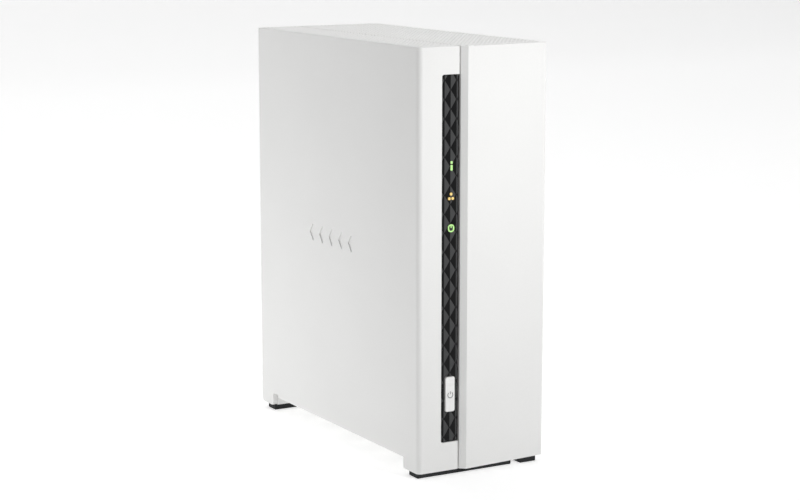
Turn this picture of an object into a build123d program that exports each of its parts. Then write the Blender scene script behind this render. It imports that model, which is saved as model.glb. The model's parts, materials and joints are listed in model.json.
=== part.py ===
"""A single-bay desktop network storage unit, in millimetres.

Frame: +Z up, the front faces -Y, and the origin is under the middle of the unit, on the surface it stands on.
The outside is two white shells that meet along one line: the left shell, which carries the indicator
window and the power button, and the case cover, which slides forward off its rails. Inside stand the
mainboard (on the left wall), the drive in its steel cage (on the right) and the fan (at the back).
"""

import os

from build123d import *

os.makedirs("parts", exist_ok=True)

# ---------------------------------------------------------------- driving dimensions
WIDTH = 66.2
DEPTH = 156.3
HEIGHT = 188.55  # the smooth top; its fine surface pattern stands on this
WALL = 2.2
FIT = 0.15  # gap between two fixed pieces

LEFT, RIGHT = -WIDTH / 2, WIDTH / 2
FRONT, REAR = -DEPTH / 2, DEPTH / 2
IN_LEFT, IN_RIGHT = LEFT + WALL, RIGHT - WALL
TOP_IN = HEIGHT - WALL

# The front: a flat left part, a slanted step and a wide panel that falls away to the right.
STEP = 1.9
FACE = FRONT + STEP
FACE_IN = FACE + WALL
SHELL_EDGE = LEFT + 20.1
COVER_EDGE = LEFT + 20.95
RIDGE_X = LEFT + 23.4
PANEL_FALL = 3.2
FRONT_ROUND, REAR_ROUND, CROWN_ROUND = 2.1, 1.6, 0.4
PANEL_IN = FRONT + PANEL_FALL + WALL - 0.4

# Feet and the arch between them.
FOOT_HEIGHT = 2.5
FOOT_DEPTH = 7.7
FRONT_FOOT_Y = FACE + 2.3
COVER_FOOT_Y = FACE + 1.5
LEG_FRONT_IN = FACE + 13.15
LEG_REAR_IN = REAR - 12.05
REAR_FOOT_Y = LEG_REAR_IN + 0.1
LONG_FOOT_X = (LEFT + 1.1, LEFT + 49.6)
SHORT_FOOT_X = (LEFT + 53.9, LEFT + 62.3)
ARCH_TOP = 8.8
LEG_ROUND = 1.4
FLOOR_LOW = 6.2
FLOOR_HIGH = 8.4
BASE_EDGE = LEFT + 51.3
COVER_FLOOR_EDGE = LEFT + 51.7

# The rear panel stands a little inside the shells' rear edges.
REAR_OUT = REAR - 1.5
REAR_IN = REAR_OUT - WALL

# Window, button and indicators, on one vertical line.
WINDOW_LEFT = LEFT + 11.5
WINDOW_LOW, WINDOW_HIGH = 15.25, 176.6
LINE_X = LEFT + 16.0
WINDOW_FRONT = FACE + 0.7
FLANGE_BACK = FACE_IN + 1.2
BUTTON_Z, BUTTON_W, BUTTON_H = 36.8, 4.7, 15.6
STATUS_Z, LAN_Z, DRIVE_Z = 137.3, 124.0, 110.2
BUTTON_FLANGE_H = 18.4
BOARD_FRONT_Y = FACE_IN + 7.4
FRONT_BOARD_T = 1.2
FRONT_BOARD_Z = (24.0, 150.0)
FRONT_SCREW_X = LEFT + 6.6
FRONT_SCREWS_Z = (28.0, 146.0)

# A row of lozenges, engraved in the left side.
LOZENGES, LOZENGE_W, LOZENGE_H = 5, 6.2, 8.4
LOZENGE_PITCH, LOZENGE_DEPTH = 9.4, 0.5
LOZENGE_Y, LOZENGE_Z = 3.2, 95.9

# Mainboard, on the left wall.
BOARD_X, BOARD_T = LEFT + 7.5, 1.6
BOARD_Y = (-58.0, 73.8)
BOARD_Z = (9.6, 96.0)
PARTS_X = BOARD_X + BOARD_T
LINK_Z, LINK_T = FLOOR_HIGH + 4.0, 1.6
LINK_SCREWS = [(-17.0, -17.0), (13.6, 22.0)]
BOARD_SCREWS = [(-53.0, 17.0), (-53.0, 91.0), (49.0, 17.0), (49.0, 91.0)]
JACK_Z, LAN_PORT_Z, USB2_Z, USB3_Z, RESET_Z = 22.0, 42.5, 61.0, 78.5, 91.0
LOCK_X, LOCK_Z = 14.0, 22.0
CHIP_Y, CHIP_Z = -12.0, 56.0  # the processor's centre
CELL_Y, CELL_Z = -43.5, 79.0
BUZZER_Y, BUZZER_Z = -50.0, 48.0

# 3.5-inch drive, standing on its connector end.
DRIVE_T, DRIVE_W, DRIVE_L = 26.1, 101.6, 147.0
DRIVE_X, DRIVE_Y, DRIVE_LOW = 2.0, -67.6, 24.0
DRIVE_HOLE_X = DRIVE_X + 6.35
DRIVE_HOLES_Z = [DRIVE_LOW + 28.5, DRIVE_LOW + 130.1]
DRIVE_MID_Y = DRIVE_Y + DRIVE_W / 2
SATA_Y = DRIVE_MID_Y + 20.7
SHEET = 1.2  # sheet steel
CAGE_X = 0.8  # the cage plate's face towards the drive
CAGE_GAP = 0.6
PILLARS = [(-50.0, 163.0), (18.0, 163.0)]
CAGE_LOW, CAGE_HIGH = 34.0, 175.0
CAGE_SCREW_X, CAGE_SCREWS_Y = -8.0, (-62.0, 31.0)
CAGE_SEAT_Z = FLOOR_HIGH + 1.5
DRIVE_INSIDE = DRIVE_X + 7.0
DRIVE_LID_X = DRIVE_X + DRIVE_T - 1.4
DISC_R, DISC_T, DISC_PITCH, DISC_Z = 47.5, 1.27, 4.5, DRIVE_LOW + 94.0
ARM_Y, ARM_Z, ARM_LENGTH, ARM_ANGLE = DRIVE_MID_Y + 30.0, DRIVE_LOW + 34.0, 50.0, 162.8

# 60 mm fan.
FAN_SIZE, FAN_T, FAN_Z = 60.0, 15.0, 131.0
FAN_FRONT = REAR_IN - 0.05 - FAN_T
FAN_HOLE = 25.0

CLAWS_Y, CLAW_LENGTH = (-62.0, -24.0, 14.0, 52.0), 12.0
SIDE_RIBS_Y = (-40.0, 0.0, 40.0)
COVER_BOLT_X = 26.4
COVER_BOLTS_Z = [14.4, 179.6]
SCREW_R = 1.4
TAPPED = SCREW_R + 0.05


def block(low, high, mode=Mode.ADD):
    """A box between two opposite corners."""
    size = [b - a for a, b in zip(low, high)]
    middle = [(a + b) / 2 for a, b in zip(low, high)]
    with Locations(Location(middle)):
        return Box(*size, mode=mode)


def rod(start, direction, radius, length, mode=Mode.ADD):
    """A cylinder from a point, along a direction."""
    with Locations(Plane(origin=start, z_dir=direction).location):
        return Cylinder(radius, length, align=(Align.CENTER, Align.CENTER, Align.MIN), mode=mode)


def screw(start, direction, length, head_r=2.6, head_h=1.6, shaft_r=SCREW_R):
    """A pan-head screw with a cross recess. start is under its head, and the shaft runs along direction."""
    back = -Vector(direction)
    rod(start, direction, shaft_r, length)
    head = rod(start, back, head_r, head_h)
    top = Vector(start) + back * head_h
    fillet(head.faces().sort_by(Axis(top, back))[-1].edges(), head_h * 0.45)
    recess = Plane(origin=top, z_dir=direction)
    with BuildSketch(recess) as cross:
        Rectangle(head_r * 1.1, head_r * 0.28)
        Rectangle(head_r * 0.28, head_r * 1.1)
    extrude(cross.sketch, amount=head_h * 0.6, mode=Mode.SUBTRACT)


def keep(builder, label):
    """Names a finished piece and writes it as its own STEP file."""
    builder.part.label = label
    export_step(builder.part, f"parts/{label}.step")


# ---------------------------------------------------------------- enclosure
def panel_inside(x):
    """The inner face of the wide front panel at x."""
    return FRONT + WALL + 0.4 + (PANEL_FALL - 0.4) * (x - RIDGE_X) / (IN_RIGHT - RIDGE_X)


def leg_corners(builder, y):
    """The lower edges of a side wall's legs that run across the wall at y."""
    edges = builder.edges().filter_by(Axis.X)
    return edges.filter_by(lambda e: e.center().Z < FOOT_HEIGHT + 0.1 and abs(e.center().Y - y) < 0.1)


def leg_notch(low_x, high_x):
    """The arch under a side wall, between its two legs."""
    middle = (LEG_FRONT_IN + LEG_REAR_IN) / 2
    span = LEG_REAR_IN - LEG_FRONT_IN
    with BuildSketch(Plane(origin=(low_x, 0, 0), x_dir=(0, 1, 0), z_dir=(1, 0, 0))) as arch:
        with Locations((middle, ARCH_TOP - 6)):
            RectangleRounded(span, 12, 1.4)
        with Locations((middle, ARCH_TOP - 8)):
            Rectangle(span, 8)
    extrude(arch.sketch, amount=high_x - low_x, mode=Mode.SUBTRACT)


# The left shell: side, top strip and the narrow front strip with the window's slot.
with BuildPart() as left_shell:
    with BuildSketch(Plane.XY.offset(FOOT_HEIGHT)):
        with BuildLine():
            Polyline(
                (SHELL_EDGE, FACE), (LEFT, FACE), (LEFT, REAR), (SHELL_EDGE, REAR), close=True
            )
        outline = make_face()
        fillet(outline.vertices().group_by(Axis.X)[0].sort_by(Axis.Y)[0], FRONT_ROUND)
        fillet(outline.vertices().group_by(Axis.X)[0].sort_by(Axis.Y)[-1], REAR_ROUND)
    extrude(amount=HEIGHT - FOOT_HEIGHT)
    crown = left_shell.faces().sort_by(Axis.Z)[-1].edges()
    fillet(crown.filter_by(lambda e: e.center().X < SHELL_EDGE - 0.1), CROWN_ROUND)
    block((IN_LEFT, FACE_IN, 0), (SHELL_EDGE + 1, REAR + 1, TOP_IN), Mode.SUBTRACT)
    leg_notch(LEFT - 1, IN_LEFT + 0.01)
    with BuildSketch(Plane(origin=(0, FACE, 0), x_dir=(1, 0, 0), z_dir=(0, -1, 0))):
        with BuildLine():
            FilletPolyline(
                (SHELL_EDGE + 1, WINDOW_LOW), (WINDOW_LEFT, WINDOW_LOW),
                (WINDOW_LEFT, WINDOW_HIGH), (SHELL_EDGE + 1, WINDOW_HIGH), radius=1.0,
            )
            Line((SHELL_EDGE + 1, WINDOW_HIGH), (SHELL_EDGE + 1, WINDOW_LOW))
        make_face()
    extrude(amount=-WALL - 0.1, mode=Mode.SUBTRACT)
    # The legs' lower corners are rounded.
    fillet(leg_corners(left_shell, REAR), 2.2)
    fillet(leg_corners(left_shell, LEG_FRONT_IN), LEG_ROUND)
    fillet(leg_corners(left_shell, LEG_REAR_IN), LEG_ROUND)
    # A row of plain lozenges, engraved in the side.
    with BuildSketch(Plane(origin=(LEFT, LOZENGE_Y, LOZENGE_Z), x_dir=(0, -1, 0), z_dir=(-1, 0, 0))):
        with GridLocations(LOZENGE_PITCH, 0, LOZENGES, 1):
            Polygon(
                (-LOZENGE_W / 2, 0), (0, LOZENGE_H / 2), (LOZENGE_W / 2, 0), (0, -LOZENGE_H / 2), align=None
            )
    extrude(amount=-LOZENGE_DEPTH, mode=Mode.SUBTRACT)
    # Rail under the top strip: the cover's claws slide along its upturned lip.
    rail_end = REAR_IN - FIT
    block((SHELL_EDGE - 4, FACE_IN, TOP_IN - 1.9), (SHELL_EDGE - 0.6, rail_end, TOP_IN))
    block((SHELL_EDGE - 4, FACE_IN, TOP_IN - 3.5), (SHELL_EDGE + 5.6, rail_end, TOP_IN - 1.9))
    block((SHELL_EDGE + 4.2, PANEL_IN + 0.3, TOP_IN - 1.95), (SHELL_EDGE + 5.6, rail_end, TOP_IN - 0.4))
    # Ribs that close the groove behind the cover's edge, above and below the window.
    block((SHELL_EDGE - 1.6, FACE_IN - 0.1, FOOT_HEIGHT), (SHELL_EDGE + 1.4, FACE_IN + 1.5, 13.2))
    block((SHELL_EDGE - 1.6, FACE_IN - 0.1, 178.6), (SHELL_EDGE + 1.4, FACE_IN + 1.5, TOP_IN - 3))
    # Bosses for the mainboard, the front board and the drive cage.
    for y, z in BOARD_SCREWS:
        rod((IN_LEFT, y, z), (1, 0, 0), 3.2, BOARD_X - IN_LEFT)
        rod((IN_LEFT, y, z), (1, 0, 0), TAPPED, 20, Mode.SUBTRACT)
    for z in FRONT_SCREWS_Z:
        rod((FRONT_SCREW_X, FACE_IN, z), (0, 1, 0), 2.2, BOARD_FRONT_Y - FACE_IN)
        rod((FRONT_SCREW_X, FACE_IN, z), (0, 1, 0), SCREW_R - 0.35, 20, Mode.SUBTRACT)
    for y, z in PILLARS:
        rod((IN_LEFT, y, z), (1, 0, 0), 4.0, CAGE_X - SHEET - IN_LEFT)
        rod((IN_LEFT, y, z), (1, 0, 0), TAPPED, 60, Mode.SUBTRACT)
keep(left_shell, "left_shell")

# The cover: wide front panel, top, right side and a strip of floor with its own two legs.
with BuildPart() as case_cover:
    with BuildSketch(Plane.XY.offset(FOOT_HEIGHT)):
        with BuildLine():
            Polyline(
                (COVER_EDGE, FACE + 0.2), (RIDGE_X, FRONT), (RIGHT, FRONT + PANEL_FALL),
                (RIGHT, REAR), (COVER_EDGE, REAR), close=True,
            )
        outline = make_face()
        fillet(outline.vertices().group_by(Axis.X)[-1].sort_by(Axis.Y)[0], FRONT_ROUND)
        fillet(outline.vertices().group_by(Axis.X)[-1].sort_by(Axis.Y)[-1], REAR_ROUND)
        fillet(outline.vertices().sort_by(Axis.Y)[0], 0.5)
    extrude(amount=HEIGHT - FOOT_HEIGHT)
    crown = case_cover.faces().sort_by(Axis.Z)[-1].edges()
    outer = crown.filter_by(lambda e: e.center().X > COVER_EDGE + 0.1 and e.center().Y < REAR - 0.1)
    fillet(outer, CROWN_ROUND)
    # Behind the front panel everything left of the floor strip is open.
    with BuildSketch(Plane.XY.offset(0)):
        with BuildLine():
            Polyline(
                (COVER_EDGE - 1, FACE_IN + 0.2), (RIDGE_X, panel_inside(RIDGE_X)),
                (IN_RIGHT, panel_inside(IN_RIGHT)), (IN_RIGHT, REAR + 1),
                (COVER_EDGE - 1, REAR + 1), close=True,
            )
        make_face()
        split(bisect_by=Plane(origin=(COVER_FLOOR_EDGE, 0, 0), z_dir=(-1, 0, 0)))
    extrude(amount=TOP_IN, mode=Mode.SUBTRACT)
    with BuildSketch(Plane.XY.offset(FLOOR_HIGH)):
        with BuildLine():
            Polyline(
                (COVER_FLOOR_EDGE - 0.01, panel_inside(COVER_FLOOR_EDGE)),
                (IN_RIGHT, panel_inside(IN_RIGHT)), (IN_RIGHT, REAR + 1),
                (COVER_FLOOR_EDGE - 0.01, REAR + 1), close=True,
            )
        make_face()
    extrude(amount=TOP_IN - FLOOR_HIGH, mode=Mode.SUBTRACT)
    leg_notch(IN_RIGHT - 0.01, RIGHT + 1)
    block((COVER_FLOOR_EDGE - 1, LEG_FRONT_IN, 0), (IN_RIGHT + 0.01, LEG_REAR_IN, FLOOR_LOW), Mode.SUBTRACT)
    # The floor ends where the rear panel's face is, and the corner rib ties it to the side wall.
    block((COVER_FLOOR_EDGE - 1, REAR_OUT, 0), (IN_RIGHT, REAR + 1, FLOOR_HIGH + 0.1), Mode.SUBTRACT)
    block((IN_RIGHT - 1.4, LEG_FRONT_IN - 4, FLOOR_HIGH - 0.1), (IN_RIGHT + 0.1, LEG_REAR_IN, 12.0))
    # Pockets that lighten the two legs, open at the top.
    front_pocket = (FRONT + PANEL_FALL + WALL + 0.4, LEG_FRONT_IN - 1.8)
    rear_pocket = (LEG_REAR_IN + 1.8, REAR_OUT - 1.8)
    for low, high in (front_pocket, rear_pocket):
        block(
            (COVER_FLOOR_EDGE + 1.8, low, FOOT_HEIGHT + 1.8), (IN_RIGHT - 1.8, high, FLOOR_HIGH + 1),
            Mode.SUBTRACT,
        )
    fillet(leg_corners(case_cover, REAR), LEG_ROUND)
    # Claws that hook inside the rail's lip.
    for y in CLAWS_Y:
        block((SHELL_EDGE + 1.9, y, TOP_IN - 1.6), (SHELL_EDGE + 3.7, y + CLAW_LENGTH, TOP_IN + 0.1))
    # Bosses for the two screws at the back, held off the side wall by a rib.
    for z in COVER_BOLTS_Z:
        block((COVER_BOLT_X, REAR_IN - 9, z - 1.2), (IN_RIGHT + 0.1, REAR_IN - FIT, z + 1.2))
        rod((COVER_BOLT_X, REAR_IN - 9, z), (0, 1, 0), 3.4, 9 - FIT)
        rod((COVER_BOLT_X, REAR_IN - 8, z), (0, 1, 0), SCREW_R + 0.35, 20, Mode.SUBTRACT)
    # Ribs that stiffen the side wall.
    for y in SIDE_RIBS_Y:
        block((IN_RIGHT - 0.9, y, 14), (IN_RIGHT + 0.1, y + 1.4, TOP_IN + 0.1))
keep(case_cover, "case_cover")

# The base: the floor with its air slots, the two hollow legs, and a ledge over the cover's floor.
with BuildPart() as base_frame:
    base_left = IN_LEFT + 0.1
    front_y, rear_y = panel_inside(BASE_EDGE) + 0.3, REAR_OUT
    block((base_left, front_y, FLOOR_LOW), (BASE_EDGE, rear_y, FLOOR_HIGH))
    for low, high in ((front_y, LEG_FRONT_IN), (LEG_REAR_IN, rear_y)):
        block((base_left, low, FOOT_HEIGHT), (BASE_EDGE, high, FLOOR_HIGH))
        block(
            (base_left + 1.8, low + 1.8, FOOT_HEIGHT + 1.8), (BASE_EDGE - 1.8, high - 1.8, FLOOR_HIGH + 1),
            Mode.SUBTRACT,
        )
    # Clearance for the rib that closes the front groove.
    block((SHELL_EDGE - 2, front_y - 1, 0), (SHELL_EDGE + 1.8, FACE_IN + 1.8, FLOOR_HIGH + 1), Mode.SUBTRACT)
    block((base_left, front_y, FLOOR_LOW), (base_left + 1.4, REAR_IN - FIT, 13.2))
    ledge = (PANEL_IN + 2.5, REAR_IN - FIT)
    block((BASE_EDGE - 2.2, ledge[0], FLOOR_HIGH - 0.1), (BASE_EDGE - 0.4, ledge[1], FLOOR_HIGH + 1.6))
    block((BASE_EDGE - 2.2, ledge[0], FLOOR_HIGH + 0.3), (BASE_EDGE + 4.0, ledge[1], FLOOR_HIGH + 1.6))
    with BuildSketch(Plane.XY.offset(FLOOR_LOW - 1)):
        with Locations((-6.3, 3)):
            with GridLocations(4.6, 22, 9, 5):
                SlotOverall(17, 2.0, rotation=90)
    extrude(amount=FLOOR_HIGH - FLOOR_LOW + 2, mode=Mode.SUBTRACT)
    for y in CAGE_SCREWS_Y:
        rod((CAGE_SCREW_X, y, FLOOR_HIGH - 0.1), (0, 0, 1), 3.4, CAGE_SEAT_Z - FLOOR_HIGH + 0.1)
        rod((CAGE_SCREW_X, y, FLOOR_LOW + 0.6), (0, 0, 1), TAPPED, 9, Mode.SUBTRACT)
    for x, y in LINK_SCREWS:
        rod((x, y, FLOOR_HIGH - 0.1), (0, 0, 1), 2.8, LINK_Z - FLOOR_HIGH + 0.1)
        rod((x, y, FLOOR_LOW + 0.6), (0, 0, 1), TAPPED, 12, Mode.SUBTRACT)
keep(base_frame, "base_frame")

# The rear panel: fan grille, connector openings, lock slot and the cover's two screw holes.
REAR_FACE = Plane(origin=(0, REAR_OUT, 0), x_dir=(-1, 0, 0), z_dir=(0, 1, 0))
with BuildPart() as rear_panel:
    block((IN_LEFT + FIT, REAR_IN, FLOOR_HIGH + 0.1), (IN_RIGHT - FIT, REAR_OUT, TOP_IN - FIT))
    with BuildSketch(REAR_FACE):
        with Locations((0, FAN_Z)):
            with HexLocations(2.45, 13, 13):
                RegularPolygon(1.95, 6)
            Circle(27.2, mode=Mode.INTERSECT)
    extrude(amount=-WALL - 1, mode=Mode.SUBTRACT)
    # A shallow ring round the grille.
    with BuildSketch(REAR_FACE):
        with Locations((0, FAN_Z)):
            Circle(29.2)
            Circle(28.4, mode=Mode.SUBTRACT)
    extrude(amount=-0.5, mode=Mode.SUBTRACT)
    # Connector openings, each with a little room around the connector.
    with BuildSketch(REAR_FACE):
        with Locations((-(PARTS_X + 6.9), LAN_PORT_Z)):
            Rectangle(14.3, 16.6)
        for z in (USB2_Z, USB3_Z):
            with Locations((-(PARTS_X + 3.6), z)):
                RectangleRounded(6.9, 15.0, 0.4)
        with Locations((-(PARTS_X + 6.4), JACK_Z)):
            Circle(4.6)
        with Locations((-(PARTS_X + 3.0), RESET_Z)):
            Circle(0.9)
        with Locations((-LOCK_X, LOCK_Z)):
            RectangleRounded(3.1, 7.1, 0.6)
        # Extra air slots beside the connectors.
        with Locations((-8.0, 62.0)):
            with GridLocations(5.0, 19.0, 5, 3):
                SlotOverall(15.0, 2.2, rotation=90)
        for z in COVER_BOLTS_Z:
            with Locations((-COVER_BOLT_X, z)):
                Circle(SCREW_R + 0.15)
        with Locations((0, FAN_Z)):
            with GridLocations(2 * FAN_HOLE, 2 * FAN_HOLE, 2, 2):
                Circle(SCREW_R + 0.5)
    extrude(amount=-WALL - 1, mode=Mode.SUBTRACT)
    # Seats for the fan screws' heads.
    with BuildSketch(REAR_FACE):
        with Locations((0, FAN_Z)):
            with GridLocations(2 * FAN_HOLE, 2 * FAN_HOLE, 2, 2):
                Circle(3.2)
    extrude(amount=-1.0, mode=Mode.SUBTRACT)
    # Clearance round the rail and the corner rib of the base.
    block((IN_LEFT, REAR_IN - 1, 0), (IN_LEFT + 2, REAR_IN - FIT, 14.2), Mode.SUBTRACT)
keep(rear_panel, "rear_panel")

# A steel plate behind the lock slot, riveted to the rear panel.
with BuildPart() as lock_plate:
    block((LOCK_X - 5, REAR_IN - SHEET, LOCK_Z - 6), (LOCK_X + 5, REAR_IN, LOCK_Z + 6))
    with BuildSketch(Plane(origin=(LOCK_X, REAR_IN, LOCK_Z), x_dir=(-1, 0, 0), z_dir=(0, 1, 0))):
        RectangleRounded(3.0, 7.0, 0.5)
    extrude(amount=-2, mode=Mode.SUBTRACT)
keep(lock_plate, "lock_plate")

# ---------------------------------------------------------------- feet
def foot(span_x, low_y):
    """A rubber pad from the surface up to a leg."""
    low_x, high_x = span_x
    with BuildSketch(Plane.XY) as pad:
        with Locations(((low_x + high_x) / 2, low_y + FOOT_DEPTH / 2)):
            RectangleRounded(high_x - low_x, FOOT_DEPTH, 0.4)
    extrude(pad.sketch, amount=FOOT_HEIGHT)
    chamfer(pad_edges(low_y), 0.15)


def pad_edges(low_y):
    """The lower edges of the pad that starts at low_y."""
    edges = BuildPart._get_context().edges().filter_by(lambda e: e.center().Z < 0.01)
    return edges.filter_by(lambda e: low_y - 0.1 < e.center().Y < low_y + FOOT_DEPTH + 0.1)


with BuildPart() as base_feet:
    foot(LONG_FOOT_X, FRONT_FOOT_Y)
    foot(LONG_FOOT_X, REAR_FOOT_Y)
keep(base_feet, "base_feet")

with BuildPart() as cover_feet:
    foot(SHORT_FOOT_X, COVER_FOOT_Y)
    foot(SHORT_FOOT_X, REAR_FOOT_Y)
keep(cover_feet, "cover_feet")

# ---------------------------------------------------------------- window, button, indicators
WINDOW_FACE = Plane(origin=(0, WINDOW_FRONT, 0), x_dir=(1, 0, 0), z_dir=(0, -1, 0))
INLAY, MARK_RISE = 0.5, 0.55


def status_icon(grow=0.0):
    """A small letter-like mark: a dot over a bar."""
    with Locations((LINE_X + 0.5, STATUS_Z + 1.45)):
        RectangleRounded(1.05 + grow, 1.15 + grow, 0.3)
    with Locations((LINE_X + 0.5, STATUS_Z - 0.8)):
        RectangleRounded(1.05 + grow, 2.4 + grow, 0.3)


def network_icon(grow=0.0):
    """Three rounded dots in a triangle."""
    for x, z in ((0, 1.1), (-0.85, -0.85), (0.85, -0.85)):
        with Locations((LINE_X + 0.3 + x, LAN_Z + z)):
            RectangleRounded(1.15 + grow, 1.2 + grow, 0.4)


def drive_icon(grow=0.0):
    """A ring with a short bar inside."""
    with Locations((LINE_X + 0.4, DRIVE_Z)):
        RectangleRounded(3.1 + grow, 3.4 + grow, 1.4)
        RectangleRounded(1.9 - grow, 2.2 - grow, 0.7, mode=Mode.SUBTRACT)
    with Locations((LINE_X + 0.4, DRIVE_Z + 0.75)):
        Rectangle(0.5 + grow, 1.1)


ICONS = {"status_icon": status_icon, "network_icon": network_icon, "drive_icon": drive_icon}

with BuildPart() as window_strip:
    with BuildSketch(WINDOW_FACE):
        middle_x = (WINDOW_LEFT + SHELL_EDGE) / 2 + FIT / 2
        with Locations((middle_x, (WINDOW_LOW + WINDOW_HIGH) / 2)):
            RectangleRounded(SHELL_EDGE - WINDOW_LEFT - FIT, WINDOW_HIGH - WINDOW_LOW - 2 * FIT, 0.9)
    extrude(amount=WINDOW_FRONT - FLANGE_BACK)
    block(
        (WINDOW_LEFT - 1.8, FACE_IN + 0.05, WINDOW_LOW - 1.8),
        (SHELL_EDGE + 1.4, FLANGE_BACK, WINDOW_HIGH + 1.8),
    )
    with BuildSketch(WINDOW_FACE):
        with Locations((LINE_X, BUTTON_Z)):
            RectangleRounded(BUTTON_W + 0.5, BUTTON_H + 0.5, 1.1)
    extrude(amount=-10, mode=Mode.SUBTRACT)
    for icon in ICONS.values():
        with BuildSketch(WINDOW_FACE) as pocket:
            icon(0.04)
        extrude(pocket.sketch, amount=-INLAY, mode=Mode.SUBTRACT)
keep(window_strip, "window_strip")

for label, icon in ICONS.items():
    with BuildPart() as inlay:
        with BuildSketch(WINDOW_FACE) as mark:
            icon()
        extrude(mark.sketch, amount=-INLAY)
        extrude(mark.sketch, amount=MARK_RISE)
    keep(inlay, label)

# One clear moulding with three light pipes and two feet on the front board.
with BuildPart() as light_guide:
    for z in (STATUS_Z, LAN_Z, DRIVE_Z):
        block((LINE_X - 1.6, FLANGE_BACK + 0.1, z - 2.1), (LINE_X + 2.4, BOARD_FRONT_Y - 1.2, z + 2.1))
    block((LINE_X - 0.6, FLANGE_BACK + 1.6, DRIVE_Z - 4), (LINE_X + 1.4, FLANGE_BACK + 2.8, STATUS_Z + 6))
    for z in (DRIVE_Z - 5, STATUS_Z + 6):
        block((LINE_X - 0.6, FLANGE_BACK + 1.6, z - 1), (LINE_X + 1.4, BOARD_FRONT_Y - 0.02, z + 1))
keep(light_guide, "light_guide")

with BuildPart() as front_board:
    block(
        (LEFT + 3.0, BOARD_FRONT_Y, FRONT_BOARD_Z[0]),
        (SHELL_EDGE - 0.4, BOARD_FRONT_Y + FRONT_BOARD_T, FRONT_BOARD_Z[1]),
    )
    for z in FRONT_SCREWS_Z:
        rod((FRONT_SCREW_X, BOARD_FRONT_Y - 1, z), (0, 1, 0), 1.15, 5, Mode.SUBTRACT)
keep(front_board, "front_board")

with BuildPart() as indicator_lamps:
    for z in (STATUS_Z, LAN_Z, DRIVE_Z):
        block((LINE_X - 1.2, BOARD_FRONT_Y - 0.9, z - 0.8), (LINE_X + 2.0, BOARD_FRONT_Y, z + 0.8))
keep(indicator_lamps, "indicator_lamps")

with BuildPart() as power_button:
    cap_front = FACE - 0.35
    with BuildSketch(Plane(origin=(LINE_X, cap_front, BUTTON_Z), x_dir=(1, 0, 0), z_dir=(0, -1, 0))):
        RectangleRounded(BUTTON_W, BUTTON_H, 0.9)
    extrude(amount=cap_front - FLANGE_BACK - 0.1)
    fillet(power_button.faces().sort_by(Axis.Y)[0].edges(), 0.35)
    block(
        (LINE_X - 3.6, FLANGE_BACK + 0.05, BUTTON_Z - BUTTON_FLANGE_H / 2),
        (LINE_X + 3.2, FLANGE_BACK + 1.05, BUTTON_Z + BUTTON_FLANGE_H / 2),
    )
    rod((LINE_X, FLANGE_BACK + 1.0, BUTTON_Z), (0, 1, 0), 1.2, 0.7)
    with BuildSketch(Plane(origin=(LINE_X, cap_front, BUTTON_Z - 0.3), x_dir=(1, 0, 0), z_dir=(0, -1, 0))):
        Circle(1.55)
        Circle(1.2, mode=Mode.SUBTRACT)
        with Locations((0, 1.4)):
            Rectangle(1.0, 1.0, mode=Mode.SUBTRACT)
        with Locations((0, 0.95)):
            Rectangle(0.34, 1.5)
    extrude(amount=-0.25, mode=Mode.SUBTRACT)
keep(power_button, "power_button")

SWITCH_FRONT = BOARD_FRONT_Y - 3.5
with BuildPart() as power_switch:
    block((LINE_X - 3, SWITCH_FRONT, BUTTON_Z - 3), (LINE_X + 3, BOARD_FRONT_Y, BUTTON_Z + 3))
    rod((LINE_X, SWITCH_FRONT - 1, BUTTON_Z), (0, 1, 0), 1.75, 2.8, Mode.SUBTRACT)
keep(power_switch, "power_switch")

with BuildPart() as switch_plunger:
    rod((LINE_X, FLANGE_BACK + 1.7, BUTTON_Z), (0, 1, 0), 1.68, SWITCH_FRONT + 1.0 - FLANGE_BACK - 1.7)
keep(switch_plunger, "switch_plunger")

# ---------------------------------------------------------------- mainboard and what is on it
with BuildPart() as mainboard:
    block((BOARD_X, BOARD_Y[0], BOARD_Z[0]), (PARTS_X, BOARD_Y[1], BOARD_Z[1]))
    for y, z in BOARD_SCREWS:
        rod((BOARD_X - 1, y, z), (1, 0, 0), SCREW_R + 0.1, 5, Mode.SUBTRACT)
keep(mainboard, "mainboard")

with BuildPart() as board_screws:
    for y, z in BOARD_SCREWS:
        screw((PARTS_X, y, z), (-1, 0, 0), 6.0)
    for x, y in LINK_SCREWS:
        screw((x, y, LINK_Z + LINK_T), (0, 0, -1), 5.0)
    for z in FRONT_SCREWS_Z:
        screw((FRONT_SCREW_X, BOARD_FRONT_Y + FRONT_BOARD_T, z), (0, -1, 0), 6.5, 2.0, 1.3, 1.0)
keep(board_screws, "board_screws")


def chip(y, z, size_y, size_z, height):
    """A flat package on the mainboard, centred at y, z."""
    block((PARTS_X, y - size_y / 2, z - size_z / 2), (PARTS_X + height, y + size_y / 2, z + size_z / 2))


with BuildPart() as processor:
    chip(CHIP_Y, CHIP_Z, 23, 23, 0.8)
    chip(CHIP_Y, CHIP_Z, 15, 15, 1.8)
keep(processor, "processor")

HEATSINK, SINK_SIZE = PARTS_X + 1.8, 40.0
with BuildPart() as heatsink:
    half = SINK_SIZE / 2
    block((HEATSINK, CHIP_Y - half, CHIP_Z - half), (HEATSINK + 2, CHIP_Y + half, CHIP_Z + half))
    with Locations((HEATSINK + 6.5, CHIP_Y, CHIP_Z)):
        with GridLocations(1, 3.4, 1, 12):
            Box(10, 1.0, SINK_SIZE)
keep(heatsink, "heatsink")

# Two memory chips, the storage chip, the network chip and the network transformer.
with BuildPart() as board_chips:
    chip(18, 50, 9, 12, 1.1)
    chip(18, 64, 9, 12, 1.1)
    chip(-44, 34, 12, 16, 1.2)
    chip(36, 42, 9, 9, 0.9)
    chip(47, 42, 7, 16, 5.5)
keep(board_chips, "board_chips")

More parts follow.
